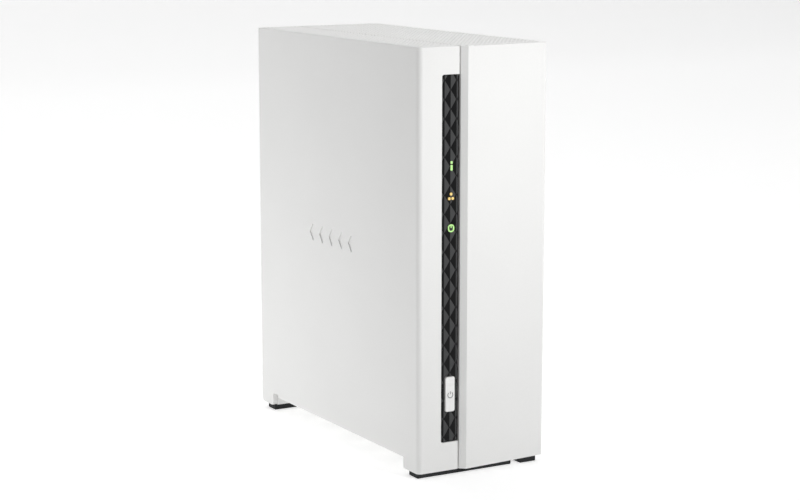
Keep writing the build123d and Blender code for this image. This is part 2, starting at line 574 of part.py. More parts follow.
with BuildPart() as power_coils:
    for y, z in ((30, 22), (40, 22), (-20, 24), (0, 26)):
        chip(y, z, 7, 7, 4)
    fillet(power_coils.edges().filter_by(Axis.X), 0.9)
keep(power_coils, "power_coils")

with BuildPart() as capacitors:
    for y, z in ((52, 29), (30, 32), (-32, 24), (-44, 56), (22, 80)):
        rod((PARTS_X, y, z), (1, 0, 0), 4.0, 9.0)
    fillet(capacitors.faces().sort_by(Axis.X)[-5:].edges(), 0.6)
keep(capacitors, "capacitors")

with BuildPart() as buzzer:
    rod((PARTS_X, BUZZER_Y, BUZZER_Z), (1, 0, 0), 4.6, 5.5)
    rod((PARTS_X + 4, BUZZER_Y, BUZZER_Z), (1, 0, 0), 0.9, 5, Mode.SUBTRACT)
keep(buzzer, "buzzer")

with BuildPart() as cell_holder:
    rod((PARTS_X, CELL_Y, CELL_Z), (1, 0, 0), 11.6, 4.2)
    rod((PARTS_X + 0.8, CELL_Y, CELL_Z), (1, 0, 0), 10.1, 5, Mode.SUBTRACT)
    block((PARTS_X + 0.8, CELL_Y - 2, CELL_Z + 8), (PARTS_X + 5, CELL_Y + 2, CELL_Z + 13), Mode.SUBTRACT)
keep(cell_holder, "cell_holder")

with BuildPart() as coin_cell:
    rod((PARTS_X + 0.85, CELL_Y, CELL_Z), (1, 0, 0), 10.0, 3.2)
    fillet(coin_cell.faces().sort_by(Axis.X)[-1].edges(), 0.5)
keep(coin_cell, "coin_cell")

# ---------------------------------------------------------------- connectors at the back
with BuildPart() as network_jack:
    jack_y = (55.0, REAR_OUT - 0.4)
    block((PARTS_X, jack_y[0], LAN_PORT_Z - 8), (PARTS_X + 13.6, jack_y[1], LAN_PORT_Z + 8))
    block((PARTS_X + 2.2, 61, LAN_PORT_Z - 5.9), (PARTS_X + 9.2, 80, LAN_PORT_Z + 5.9), Mode.SUBTRACT)
    block((PARTS_X + 9.1, 61, LAN_PORT_Z - 3.2), (PARTS_X + 10.6, 80, LAN_PORT_Z + 3.2), Mode.SUBTRACT)
    block((PARTS_X + 10.5, 61, LAN_PORT_Z - 2.2), (PARTS_X + 12.0, 80, LAN_PORT_Z + 2.2), Mode.SUBTRACT)
keep(network_jack, "network_jack")


def usb_shell(z):
    """A folded metal shell, open towards the back."""
    block((PARTS_X + 0.3, 60.5, z - 7.2), (PARTS_X + 6.9, REAR_OUT + 0.2, z + 7.2))
    block((PARTS_X + 0.75, 62.5, z - 6.7), (PARTS_X + 6.4, REAR_OUT + 2, z + 6.7), Mode.SUBTRACT)
    block((PARTS_X, 61.0, z - 6.4), (PARTS_X + 0.4, 63.0, z + 6.4))


def usb_tongue(z):
    """The tongue with four contacts that the plug closes round."""
    block((PARTS_X + 4.0, 62.5, z - 5.6), (PARTS_X + 5.9, REAR_OUT - 1.2, z + 5.6))
    block((PARTS_X + 0.9, 62.5, z - 6.5), (PARTS_X + 6.2, 64.0, z + 6.5))


with BuildPart() as usb_shells:
    usb_shell(USB2_Z)
    usb_shell(USB3_Z)
keep(usb_shells, "usb_shells")

with BuildPart() as usb_tongues:
    usb_tongue(USB2_Z)
    usb_tongue(USB3_Z)
keep(usb_tongues, "usb_tongues")

JACK_X = PARTS_X + 6.4
with BuildPart() as power_jack:
    block((PARTS_X, 61.0, JACK_Z - 4.6), (PARTS_X + 11.0, REAR_IN - 0.1, JACK_Z + 4.6))
    rod((JACK_X, REAR_IN - 1, JACK_Z), (0, 1, 0), 4.3, 3.0)
    rod((JACK_X, 66.0, JACK_Z), (0, 1, 0), 2.85, 20, Mode.SUBTRACT)
keep(power_jack, "power_jack")

# The network socket's spring contacts, the USB contacts and the power socket's pin.
with BuildPart() as socket_contacts:
    rod((JACK_X, 66.0, JACK_Z), (0, 1, 0), 1.0, 9.0)
    fillet(socket_contacts.faces().sort_by(Axis.Y)[-1].edges(), 0.4)
    for i in range(8):
        z = LAN_PORT_Z + (i - 3.5) * 1.02
        block((PARTS_X + 2.2, 62.0, z - 0.2), (PARTS_X + 2.6, 74.0, z + 0.2))
        block((PARTS_X + 2.2, 61.0, z - 0.2), (PARTS_X + 5.2, 62.0, z + 0.2))
        with BuildSketch(Plane.XY.offset(z - 0.2)):
            with BuildLine():
                Polyline(
                    (PARTS_X + 4.8, 62.0), (PARTS_X + 5.2, 61.9), (PARTS_X + 2.6, 72.0),
                    (PARTS_X + 2.3, 72.0), close=True,
                )
            make_face()
        extrude(amount=0.4)
    for z in (USB2_Z, USB3_Z):
        for i in range(4):
            zc = z + (i - 1.5) * 2.4
            block((PARTS_X + 3.8, 64.0, zc - 0.5), (PARTS_X + 4.0, REAR_OUT - 2.0, zc + 0.5))
keep(socket_contacts, "socket_contacts")

RESET_X = PARTS_X + 3.0
with BuildPart() as reset_switch:
    block((PARTS_X, 66.0, RESET_Z - 3), (PARTS_X + 6, 71.0, RESET_Z + 3))
    rod((RESET_X, 68.0, RESET_Z), (0, 1, 0), 1.3, 10, Mode.SUBTRACT)
keep(reset_switch, "reset_switch")

with BuildPart() as reset_button:
    rod((RESET_X, 68.6, RESET_Z), (0, 1, 0), 1.23, 5.0)
    fillet(reset_button.faces().sort_by(Axis.Y)[-1].edges(), 0.3)
keep(reset_button, "reset_button")

# ---------------------------------------------------------------- drive, its cage and its small board
with BuildPart() as drive_link_board:
    block((PARTS_X + 2.6, -21.0, LINK_Z), (18.0, 25.2, LINK_Z + LINK_T))
    for x, y in LINK_SCREWS:
        rod((x, y, LINK_Z - 1), (0, 0, 1), SCREW_R + 0.1, 5, Mode.SUBTRACT)
keep(drive_link_board, "drive_link_board")

# The mainboard's socket for the small board, and that board's socket for the drive.
with BuildPart() as drive_sockets:
    block((PARTS_X, -10, 10.2), (PARTS_X + 5.6, 22, 16.6))
    block((PARTS_X + 2.5, -11, LINK_Z - 0.03), (PARTS_X + 6, 23, LINK_Z + LINK_T + 0.03), Mode.SUBTRACT)
    low, high = SATA_Y - 20.4, SATA_Y + 20.4
    block((DRIVE_X + 1.0, low, LINK_Z + LINK_T), (DRIVE_X + 6.2, high, DRIVE_LOW + 3.6))
    block((DRIVE_X + 2.8, low + 0.8, DRIVE_LOW), (DRIVE_X + 4.4, high - 0.8, DRIVE_LOW + 4), Mode.SUBTRACT)
keep(drive_sockets, "drive_sockets")

with BuildPart() as drive_base:
    block((DRIVE_X, DRIVE_Y, DRIVE_LOW), (DRIVE_LID_X, DRIVE_Y + DRIVE_W, DRIVE_LOW + DRIVE_L))
    fillet(drive_base.edges().filter_by(Axis.X), 2.5)
    block(
        (DRIVE_X - 1, SATA_Y - 20.9, DRIVE_LOW - 1), (DRIVE_X + 6.7, SATA_Y + 20.9, DRIVE_LOW + 5.1),
        Mode.SUBTRACT,
    )
    board_seat = (DRIVE_X + 1.6, DRIVE_Y + 90, DRIVE_LOW + 82)
    block((DRIVE_X - 1, DRIVE_Y + 12, DRIVE_LOW + 9), board_seat, Mode.SUBTRACT)
    for z in DRIVE_HOLES_Z:
        rod((DRIVE_HOLE_X, DRIVE_Y - 1, z), (0, 1, 0), TAPPED, 7, Mode.SUBTRACT)
        rod((DRIVE_HOLE_X, DRIVE_Y + DRIVE_W + 1, z), (0, -1, 0), TAPPED, 7, Mode.SUBTRACT)
    # The sealed hollow for the discs and the arm, with a post for each.
    rod((DRIVE_INSIDE, DRIVE_MID_Y, DISC_Z), (1, 0, 0), 48.6, 30, Mode.SUBTRACT)
    block(
        (DRIVE_INSIDE, DRIVE_MID_Y - 43, DRIVE_LOW + 12), (DRIVE_LID_X + 1, DRIVE_MID_Y + 44, DISC_Z - 20),
        Mode.SUBTRACT,
    )
    rod((DRIVE_INSIDE - 0.1, DRIVE_MID_Y, DISC_Z), (1, 0, 0), 4.0, 16.4)
    rod((DRIVE_INSIDE - 0.1, ARM_Y, ARM_Z), (1, 0, 0), 3.0, 16.4)
    # The motor's boss on the board side.
    rod((DRIVE_X + 0.01, DRIVE_MID_Y, DISC_Z + 4), (-1, 0, 0), 14, 0.4)
keep(drive_base, "drive_base")

with BuildPart() as drive_lid:
    lid_middle = (DRIVE_LID_X, DRIVE_MID_Y, DRIVE_LOW + DRIVE_L / 2)
    with BuildSketch(Plane(origin=lid_middle, x_dir=(0, 1, 0), z_dir=(1, 0, 0))):
        RectangleRounded(DRIVE_W - 3.0, DRIVE_L - 3.0, 5)
    extrude(amount=1.0)
    rod((DRIVE_LID_X + 0.9, DRIVE_MID_Y, DISC_Z), (1, 0, 0), 45.0, 0.5)
    rod((DRIVE_LID_X + 1.2, DRIVE_MID_Y, DISC_Z), (1, 0, 0), 9.0, 1, Mode.SUBTRACT)
    fillet(drive_lid.faces().sort_by(Axis.X)[-1].edges(), 0.15)
keep(drive_lid, "drive_lid")

with BuildPart() as drive_lid_screws:
    for y in (-46, 46):
        for z in (6, 73, 141):
            rod((DRIVE_LID_X + 1.0, DRIVE_MID_Y + y, DRIVE_LOW + z), (1, 0, 0), 1.9, 0.4)
keep(drive_lid_screws, "drive_lid_screws")

with BuildPart() as drive_discs:
    rod((DRIVE_INSIDE + 0.3, DRIVE_MID_Y, DISC_Z), (1, 0, 0), 12.5, 15.6)
    for i in range(3):
        rod((DRIVE_INSIDE + 4 + i * DISC_PITCH, DRIVE_MID_Y, DISC_Z), (1, 0, 0), DISC_R, DISC_T)
    rod((DRIVE_INSIDE, DRIVE_MID_Y, DISC_Z), (1, 0, 0), 4.05, 20, Mode.SUBTRACT)
keep(drive_discs, "drive_discs")

with BuildPart() as drive_arm:
    rod((DRIVE_INSIDE + 0.5, ARM_Y, ARM_Z), (1, 0, 0), 7.0, 15.6)
    for i in range(4):
        reach = DRIVE_INSIDE + 2.2 + i * DISC_PITCH - (0.3 if i == 3 else 0)
        with BuildSketch(Plane(origin=(reach, ARM_Y, ARM_Z), x_dir=(0, 1, 0), z_dir=(1, 0, 0))):
            with Locations(Location((0, 0), ARM_ANGLE)):
                Polygon((0, -5), (0, 5), (ARM_LENGTH, 1.2), (ARM_LENGTH, -1.2), align=None)
        extrude(amount=0.9)
    with BuildSketch(Plane(origin=(DRIVE_INSIDE + 5, ARM_Y, ARM_Z), x_dir=(0, 1, 0), z_dir=(1, 0, 0))):
        with Locations(Location((0, 0), ARM_ANGLE + 180)):
            Polygon((0, -6), (11, -8), (13, 0), (11, 8), (0, 6), align=None)
    extrude(amount=3.0)
    rod((DRIVE_INSIDE, ARM_Y, ARM_Z), (1, 0, 0), 3.05, 20, Mode.SUBTRACT)
keep(drive_arm, "drive_arm")

with BuildPart() as drive_board:
    block((DRIVE_X + 0.4, DRIVE_Y + 12.4, DRIVE_LOW + 9.4), (DRIVE_X + 1.4, DRIVE_Y + 89.6, DRIVE_LOW + 81.6))
keep(drive_board, "drive_board")

with BuildPart() as drive_connector:
    block(
        (DRIVE_X + 0.8, SATA_Y - 20.7, DRIVE_LOW + 3.8), (DRIVE_X + 6.5, SATA_Y + 20.7, DRIVE_LOW + 5.0)
    )
    block((DRIVE_X + 3.0, SATA_Y - 19.3, DRIVE_LOW + 0.4), (DRIVE_X + 4.2, SATA_Y + 3.0, DRIVE_LOW + 4.0))
    block((DRIVE_X + 3.0, SATA_Y + 5.4, DRIVE_LOW + 0.4), (DRIVE_X + 4.2, SATA_Y + 19.3, DRIVE_LOW + 4.0))
keep(drive_connector, "drive_connector")

with BuildPart() as drive_cage:
    cage_back = CAGE_X - SHEET
    front_flange, rear_flange = DRIVE_Y - CAGE_GAP - SHEET, DRIVE_Y + DRIVE_W + CAGE_GAP
    block((cage_back, front_flange, CAGE_LOW), (CAGE_X, rear_flange + SHEET, CAGE_HIGH))
    for y in (front_flange, rear_flange):
        block((cage_back, y, CAGE_LOW), (DRIVE_HOLE_X + 6, y + SHEET, CAGE_HIGH))
        for z in DRIVE_HOLES_Z:
            rod((DRIVE_HOLE_X, y - 1, z), (0, 1, 0), 3.0, 4, Mode.SUBTRACT)
    # Two bent feet on the base.
    for y in CAGE_SCREWS_Y:
        block((cage_back, y - 5, CAGE_SEAT_Z), (CAGE_X, y + 5, CAGE_LOW + 1))
        block((CAGE_SCREW_X - 5, y - 5, CAGE_SEAT_Z), (CAGE_X, y + 5, CAGE_SEAT_Z + SHEET))
        rod((CAGE_SCREW_X, y, FLOOR_HIGH), (0, 0, 1), SCREW_R + 0.2, 6, Mode.SUBTRACT)
    for y, z in PILLARS:
        rod((cage_back - 1, y, z), (1, 0, 0), SCREW_R + 0.2, 5, Mode.SUBTRACT)
    # Large openings save weight and let air past.
    with BuildSketch(Plane(origin=(cage_back - 1, DRIVE_MID_Y, 104), x_dir=(0, 1, 0), z_dir=(1, 0, 0))):
        with GridLocations(14, 58, 6, 2):
            SlotOverall(48, 7, rotation=90)
    extrude(amount=4, mode=Mode.SUBTRACT)
    bends = drive_cage.edges().filter_by(Axis.Z).filter_by(lambda e: e.center().X < cage_back + 0.01)
    fillet(bends.filter_by(lambda e: e.length > 100), 0.8)
keep(drive_cage, "drive_cage")

with BuildPart() as cage_screws:
    for y, z in PILLARS:
        screw((CAGE_X, y, z), (-1, 0, 0), 8.0, 2.6, 1.0)
    for y in CAGE_SCREWS_Y:
        screw((CAGE_SCREW_X, y, CAGE_SEAT_Z + SHEET), (0, 0, -1), 3.6)
keep(cage_screws, "cage_screws")

with BuildPart() as drive_bushes:
    for y, side in ((front_flange - 0.5, 1), (rear_flange + SHEET + 0.5, -1)):
        for z in DRIVE_HOLES_Z:
            rod((DRIVE_HOLE_X, y, z), (0, side, 0), 2.95, CAGE_GAP + SHEET + 0.5)
            rod((DRIVE_HOLE_X, y, z), (0, -side, 0), 4.4, 0.8)
            rod((DRIVE_HOLE_X, y - side * 2, z), (0, side, 0), TAPPED, 9, Mode.SUBTRACT)
keep(drive_bushes, "drive_bushes")

with BuildPart() as drive_screws:
    for y, side in ((front_flange - 1.3, 1), (rear_flange + SHEET + 1.3, -1)):
        for z in DRIVE_HOLES_Z:
            screw((DRIVE_HOLE_X, y, z), (0, side, 0), 7.0, 2.8, 1.4)
keep(drive_screws, "drive_screws")

# ---------------------------------------------------------------- fan
FAN_REAR = FAN_FRONT + FAN_T
HUB_R, BLADE_R, DUCT_R = 11.6, 27.2, 28.6
BLADES = 7
FAN_SOCKET_Y, FAN_SOCKET_Z = 35.0, 88.5
CABLE_X, CABLE_Y = -9.5, 66.0


def fan_axis(y):
    """A point on the fan's axis."""
    return (0, y, FAN_Z)


with BuildPart() as fan_frame:
    with BuildSketch(Plane(origin=fan_axis(FAN_FRONT), x_dir=(-1, 0, 0), z_dir=(0, 1, 0))):
        RectangleRounded(FAN_SIZE, FAN_SIZE, 3.5)
        Circle(DUCT_R, mode=Mode.SUBTRACT)
        with GridLocations(2 * FAN_HOLE, 2 * FAN_HOLE, 2, 2):
            Circle(TAPPED, mode=Mode.SUBTRACT)
    extrude(amount=FAN_T)
    with BuildSketch(Plane(origin=fan_axis(FAN_REAR - 2.0), x_dir=(-1, 0, 0), z_dir=(0, 1, 0))):
        with PolarLocations(0, 4, start_angle=20):
            with Locations((20, 0)):
                Rectangle(20, 2.4)
        Circle(HUB_R + 0.4)
    extrude(amount=2.0)
    rod(fan_axis(FAN_FRONT + 4), (0, 1, 0), 4.4, FAN_T - 5)
    rod(fan_axis(FAN_FRONT), (0, 1, 0), 3.4, FAN_T - 1.2, Mode.SUBTRACT)
keep(fan_frame, "fan_frame")

with BuildPart() as fan_bearing:
    rod(fan_axis(FAN_FRONT + 4.5), (0, 1, 0), 3.38, FAN_T - 5.8)
    rod(fan_axis(FAN_FRONT), (0, 1, 0), 1.54, FAN_T, Mode.SUBTRACT)
keep(fan_bearing, "fan_bearing")

with BuildPart() as fan_coils:
    rod(fan_axis(FAN_FRONT + 4.6), (0, 1, 0), 5.6, 7.0)
    with Locations(Plane(origin=fan_axis(FAN_FRONT + 8.1), x_dir=(1, 0, 0), z_dir=(0, -1, 0)).location):
        with PolarLocations(0, 4, start_angle=45):
            with Locations((6.8, 0)):
                Box(3.4, 5.4, 5.0)
    rod(fan_axis(FAN_FRONT), (0, 1, 0), 4.42, FAN_T, Mode.SUBTRACT)
keep(fan_coils, "fan_coils")

with BuildPart() as fan_rotor:
    rod(fan_axis(FAN_FRONT + 0.8), (0, 1, 0), HUB_R, FAN_T - 4.0)
    rod(fan_axis(FAN_FRONT + 2.2), (0, 1, 0), HUB_R - 1.2, FAN_T, Mode.SUBTRACT)
    rod(fan_axis(FAN_FRONT + 2.0), (0, 1, 0), 3.0, 1.8)
    rod(fan_axis(FAN_FRONT + 1.6), (0, 1, 0), 1.5, 4.0, Mode.SUBTRACT)
    for i in range(BLADES):
        out = Vector(0, 0, 1).rotate(Axis.Y, 360 / BLADES * i)
        across = out.cross(Vector(0, 1, 0))
        sections = []
        for radius, width, thick, pitch in ((HUB_R - 1.15, 12.0, 1.2, 46), (BLADE_R - 0.9, 16.0, 0.9, 30)):
            middle = Vector(0, FAN_FRONT + 6.6, FAN_Z) + out * radius
            tilt = across.rotate(Axis((0, 0, 0), tuple(out)), pitch)
            with BuildSketch(Plane(origin=middle, x_dir=tilt, z_dir=out), mode=Mode.PRIVATE) as section:
                with BuildLine():
                    ThreePointArc((-width / 2, 0), (0, 1.4), (width / 2, 0))
                    Line((width / 2, 0), (width / 2, -thick))
                    ThreePointArc((width / 2, -thick), (0, 1.4 - thick), (-width / 2, -thick))
                    Line((-width / 2, -thick), (-width / 2, 0))
                make_face()
            sections.append(section.sketch.face())
        add(loft(sections, mode=Mode.PRIVATE))
keep(fan_rotor, "fan_rotor")

with BuildPart() as fan_magnet:
    rod(fan_axis(FAN_FRONT + 4.0), (0, 1, 0), HUB_R - 1.22, 7.6)
    rod(fan_axis(FAN_FRONT), (0, 1, 0), HUB_R - 2.4, FAN_T, Mode.SUBTRACT)
keep(fan_magnet, "fan_magnet")

with BuildPart() as fan_shaft:
    rod(fan_axis(FAN_FRONT + 1.6), (0, 1, 0), 1.49, FAN_T - 3.6)
keep(fan_shaft, "fan_shaft")

with BuildPart() as fan_screws:
    for dx in (-FAN_HOLE, FAN_HOLE):
        for dz in (-FAN_HOLE, FAN_HOLE):
            screw((dx, REAR_OUT - 1.0, FAN_Z + dz), (0, -1, 0), 9.0, 2.8, 1.4)
keep(fan_screws, "fan_screws")

with BuildPart() as fan_cable:
    with BuildLine() as route:
        cable_start = (PARTS_X + 6.05, FAN_SOCKET_Y, FAN_SOCKET_Z)
        FilletPolyline(
            cable_start, (CABLE_X, FAN_SOCKET_Y, FAN_SOCKET_Z), (CABLE_X, CABLE_Y, FAN_SOCKET_Z),
            (CABLE_X, CABLE_Y, FAN_Z - FAN_SIZE / 2 - 0.05), radius=6,
        )
    with BuildSketch(Plane(origin=cable_start, z_dir=(1, 0, 0))):
        Circle(1.3)
    sweep(path=route.wires()[0])
keep(fan_cable, "fan_cable")

# ---------------------------------------------------------------- front ribbon
RIBBON_X, RIBBON_END_Y, RIBBON_Z = -20.5, -27.0, 84.0
FRONT_BACK = BOARD_FRONT_Y + FRONT_BOARD_T
with BuildPart() as cable_sockets:
    block(
        (PARTS_X, FAN_SOCKET_Y - 4, FAN_SOCKET_Z - 2.5), (PARTS_X + 6.0, FAN_SOCKET_Y + 4, FAN_SOCKET_Z + 2.5)
    )
    block((RIBBON_X - 2.5, FRONT_BACK, RIBBON_Z - 7), (RIBBON_X + 2.5, FRONT_BACK + 3.0, RIBBON_Z + 7))
    block((PARTS_X, RIBBON_END_Y - 2, RIBBON_Z - 7), (PARTS_X + 3.0, RIBBON_END_Y + 2, RIBBON_Z + 7))
keep(cable_sockets, "cable_sockets")

with BuildPart() as front_ribbon:
    with BuildSketch(Plane.XY.offset(RIBBON_Z - 6)) as strip:
        with BuildLine():
            FilletPolyline(
                (RIBBON_X, FRONT_BACK + 3.05), (RIBBON_X, RIBBON_END_Y - 30.5),
                (RIBBON_X + 6.5, RIBBON_END_Y - 24.0), (RIBBON_X + 6.5, RIBBON_END_Y),
                (PARTS_X + 3.05, RIBBON_END_Y), radius=2.5,
            )
        trace(line_width=0.7)
    extrude(strip.sketch, amount=12)
keep(front_ribbon, "front_ribbon")

with BuildPart() as cover_screws:
    for z in COVER_BOLTS_Z:
        screw((COVER_BOLT_X, REAR_OUT, z), (0, -1, 0), 9.0, 2.9, 1.2)
keep(cover_screws, "cover_screws")
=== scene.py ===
"""Looks for the single-bay desktop network storage unit: materials, the faceted indicator strip, the fine
diamond pattern on top, small board components, studio light and the camera. Metres, in the CAD's frame."""

import json
import math
import random

import bmesh
import bpy
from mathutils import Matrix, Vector


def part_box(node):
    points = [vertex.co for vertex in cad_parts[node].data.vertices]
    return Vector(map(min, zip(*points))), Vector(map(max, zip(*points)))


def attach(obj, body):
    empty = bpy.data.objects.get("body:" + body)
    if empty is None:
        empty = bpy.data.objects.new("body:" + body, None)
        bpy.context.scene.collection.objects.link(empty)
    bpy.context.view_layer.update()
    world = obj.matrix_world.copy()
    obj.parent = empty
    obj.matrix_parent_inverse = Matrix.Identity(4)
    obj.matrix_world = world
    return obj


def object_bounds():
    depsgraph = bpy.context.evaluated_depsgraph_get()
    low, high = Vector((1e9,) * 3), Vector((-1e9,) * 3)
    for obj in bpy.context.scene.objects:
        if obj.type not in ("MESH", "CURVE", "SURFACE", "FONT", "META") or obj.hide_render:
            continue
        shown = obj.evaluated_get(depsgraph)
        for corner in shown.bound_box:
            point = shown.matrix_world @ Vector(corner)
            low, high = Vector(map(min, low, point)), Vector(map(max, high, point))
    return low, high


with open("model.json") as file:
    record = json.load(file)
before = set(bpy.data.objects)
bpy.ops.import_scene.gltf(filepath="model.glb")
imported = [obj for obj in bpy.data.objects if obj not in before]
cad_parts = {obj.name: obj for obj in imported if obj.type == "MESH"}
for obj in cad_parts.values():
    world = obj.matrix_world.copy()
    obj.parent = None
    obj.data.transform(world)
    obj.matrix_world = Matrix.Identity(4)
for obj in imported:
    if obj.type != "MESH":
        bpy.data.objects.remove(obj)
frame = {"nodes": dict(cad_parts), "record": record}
CAD_LOW, CAD_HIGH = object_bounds()
MM = 0.001
NODES = frame["nodes"]

# ---------------------------------------------------------------- camera
CAMERA_AT = Vector((-464.11, -812.77, 250.43)) * MM
CAMERA_AZIMUTH, CAMERA_DOWN, CAMERA_LENS = 29.804, 9.858, 91.114
CAMERA_NEAR, CAMERA_FAR = 0.05, 50


def make_camera():
    """The camera stands to the front left of the unit, a little above it."""
    data = bpy.data.cameras.new("view")
    data.lens = CAMERA_LENS
    data.clip_start, data.clip_end = CAMERA_NEAR, CAMERA_FAR
    camera = bpy.data.objects.new("view", data)
    azimuth, down = math.radians(CAMERA_AZIMUTH), math.radians(CAMERA_DOWN)
    level = math.cos(down)
    forward = Vector((math.sin(azimuth) * level, math.cos(azimuth) * level, -math.sin(down)))
    camera.location = CAMERA_AT
    camera.rotation_euler = forward.to_track_quat("-Z", "Y").to_euler()
    bpy.context.scene.collection.objects.link(camera)
    bpy.context.scene.camera = camera


make_camera()


# ---------------------------------------------------------------- materials
class Nodes:
    """A short way to build one material's node tree."""

    def __init__(self, name):
        self.material = bpy.data.materials.new(name)
        self.material.use_nodes = True
        self.tree = self.material.node_tree
        self.shader = self.tree.nodes["Principled BSDF"]

    def add(self, kind, inputs=None, **settings):
        """A node with its settings and inputs. An input is a value or another node's output."""
        node = self.tree.nodes.new(kind)
        for key, value in settings.items():
            setattr(node, key, value)
        for key, value in (inputs or {}).items():
            self.feed(node.inputs[key], value)
        return node

    def feed(self, socket, value):
        """Links an output to a socket, or sets the socket's own value."""
        if isinstance(value, bpy.types.NodeSocket):
            self.tree.links.new(value, socket)
        else:
            socket.default_value = value

    def place(self, stretch=(1, 1, 1)):
        """Object coordinates, in metres, stretched along the axes."""
        coordinates = self.add("ShaderNodeTexCoord").outputs["Object"]
        return self.add("ShaderNodeMapping", {"Vector": coordinates, "Scale": stretch}).outputs["Vector"]

    def noise(self, size, detail=3.0, stretch=(1, 1, 1), rough=0.5):
        """Noise with features about this size, in metres."""
        inputs = {"Vector": self.place(stretch), "Scale": 1 / size, "Detail": detail, "Roughness": rough}
        return self.add("ShaderNodeTexNoise", inputs).outputs["Fac"]

    def span(self, value, low, high, start=0.3, end=0.7):
        """Maps a value from start to end onto the range from low to high."""
        inputs = {"Value": value, "From Min": start, "From Max": end, "To Min": low, "To Max": high}
        return self.add("ShaderNodeMapRange", inputs).outputs["Result"]

    def blend(self, amount, first, second):
        """Mixes two colours."""
        node = self.add("ShaderNodeMix", data_type="RGBA")
        self.feed(node.inputs[0], amount)
        self.feed(node.inputs[6], first)
        self.feed(node.inputs[7], second)
        return node.outputs[2]

    def bump(self, height, distance):
        """A normal from a height between 0 and 1, distance being the full height in metres."""
        return self.add("ShaderNodeBump", {"Height": height, "Distance": distance}).outputs["Normal"]

    def set(self, **values):
        """Feeds the shader's own sockets, whose names have spaces for these underscores."""
        for key, value in values.items():
            self.feed(self.shader.inputs[key.replace("_", " ")], value)


def rgb(colour, factor=1.0):
    """A colour with its alpha, scaled but never past 1."""
    return (*[min(1.0, channel * factor) for channel in colour], 1.0)


def plastic(name, colour, rough=0.45, grain=0.35 * MM, relief=0.010 * MM, vary=0.03, patch=40 * MM):
    """Moulded plastic: a fine spark-eroded grain, faint tone patches and handling marks."""
    m = Nodes(name)
    patches = m.noise(patch, detail=2)
    speck = m.noise(grain * 2.2, detail=2)
    tone = m.blend(m.span(patches, 0, 1), rgb(colour, 1 - vary), rgb(colour, 1 + vary / 2))
    tone = m.blend(m.span(speck, 0, 0.25), tone, rgb(colour, 0.93))
    marks = m.noise(9 * MM, detail=6, stretch=(1, 1, 3.0), rough=0.7)
    m.set(Base_Color=tone)
    m.set(Roughness=m.span(marks, rough - 0.05, rough + 0.07))
    m.set(Normal=m.bump(m.noise(grain, detail=2), relief))
    return m.material


def rubber(name, colour):
    """Matte rubber with a dusty bloom and a pebbled skin."""
    m = Nodes(name)
    bloom = m.noise(6 * MM, detail=5, rough=0.65)
    m.set(Base_Color=m.blend(m.span(bloom, 0, 1, start=0.45, end=0.8), rgb(colour), rgb(colour, 1.6)))
    m.set(Roughness=m.span(bloom, 0.7, 0.9), Normal=m.bump(m.noise(0.5 * MM), 0.03 * MM))
    m.set(Specular_IOR_Level=0.25)
    return m.material


def metal(name, colour, rough=0.3, brush=(1, 1, 1), spangle=0.0, scratch=0.012 * MM):
    """Bare or plated metal. brush stretches its fine lines along an axis, and spangle gives zinc crystals."""
    m = Nodes(name)
    lines = m.noise(1.2 * MM, detail=4, stretch=brush, rough=0.6)
    stain = m.noise(30 * MM, detail=2)
    tone = m.blend(m.span(stain, 0, 1), rgb(colour, 0.94), rgb(colour, 1.03))
    if spangle:
        cells = m.add("ShaderNodeTexVoronoi", {"Vector": m.place(), "Scale": 1 / spangle})
        shade = m.add("ShaderNodeSeparateColor", {"Color": cells.outputs["Color"]}).outputs["Red"]
        tone = m.blend(m.span(shade, 0, 0.6, start=0, end=1), tone, rgb(colour, 0.8))
    m.set(Base_Color=tone, Metallic=1.0)
    m.set(Roughness=m.span(lines, rough - 0.08, rough + 0.12), Normal=m.bump(lines, scratch))
    return m.material


def smoked(name, colour):
    """Glossy black with fine polishing marks and a few specks of dust."""
    m = Nodes(name)
    haze = m.noise(12 * MM, detail=5)
    dust = m.noise(0.45 * MM, detail=2)
    m.set(Base_Color=m.blend(m.span(dust, 0, 1, start=0.74, end=0.8), rgb(colour), rgb(colour, 3)))
    m.set(Roughness=m.span(haze, 0.16, 0.28), Normal=m.bump(m.noise(3 * MM), 0.004 * MM))
    m.set(Specular_IOR_Level=0.12)
    return m.material


def lit(name, colour, strength):
    """A translucent mark with light behind it, a little uneven."""
    m = Nodes(name)
    glow = m.noise(0.9 * MM, detail=2)
    tone = m.blend(m.span(glow, 0, 1), rgb(colour, 0.86), rgb(colour, 1.05))
    m.set(Base_Color=tone, Emission_Color=tone)
    m.set(Roughness=m.span(m.noise(0.4 * MM), 0.22, 0.4))
    m.set(Normal=m.bump(m.noise(0.2 * MM, detail=2), 0.004 * MM))
    m.set(Emission_Strength=strength)
    return m.material


def clear(name, colour):
    """A clear moulding with faint flow lines."""
    m = Nodes(name)
    flow = m.noise(3 * MM, stretch=(1, 1, 4))
    m.set(Base_Color=m.blend(m.span(flow, 0, 1), rgb(colour, 0.94), rgb(colour)))
    m.set(Roughness=m.span(flow, 0.05, 0.18), Normal=m.bump(flow, 0.02 * MM))
    m.set(Transmission_Weight=0.9, IOR=1.49)
    return m.material


TRACK_GREEN = (0.07, 0.30, 0.13)
TRACK_SPACING, TRACK_BANDS = 3.4 * MM, 3.0


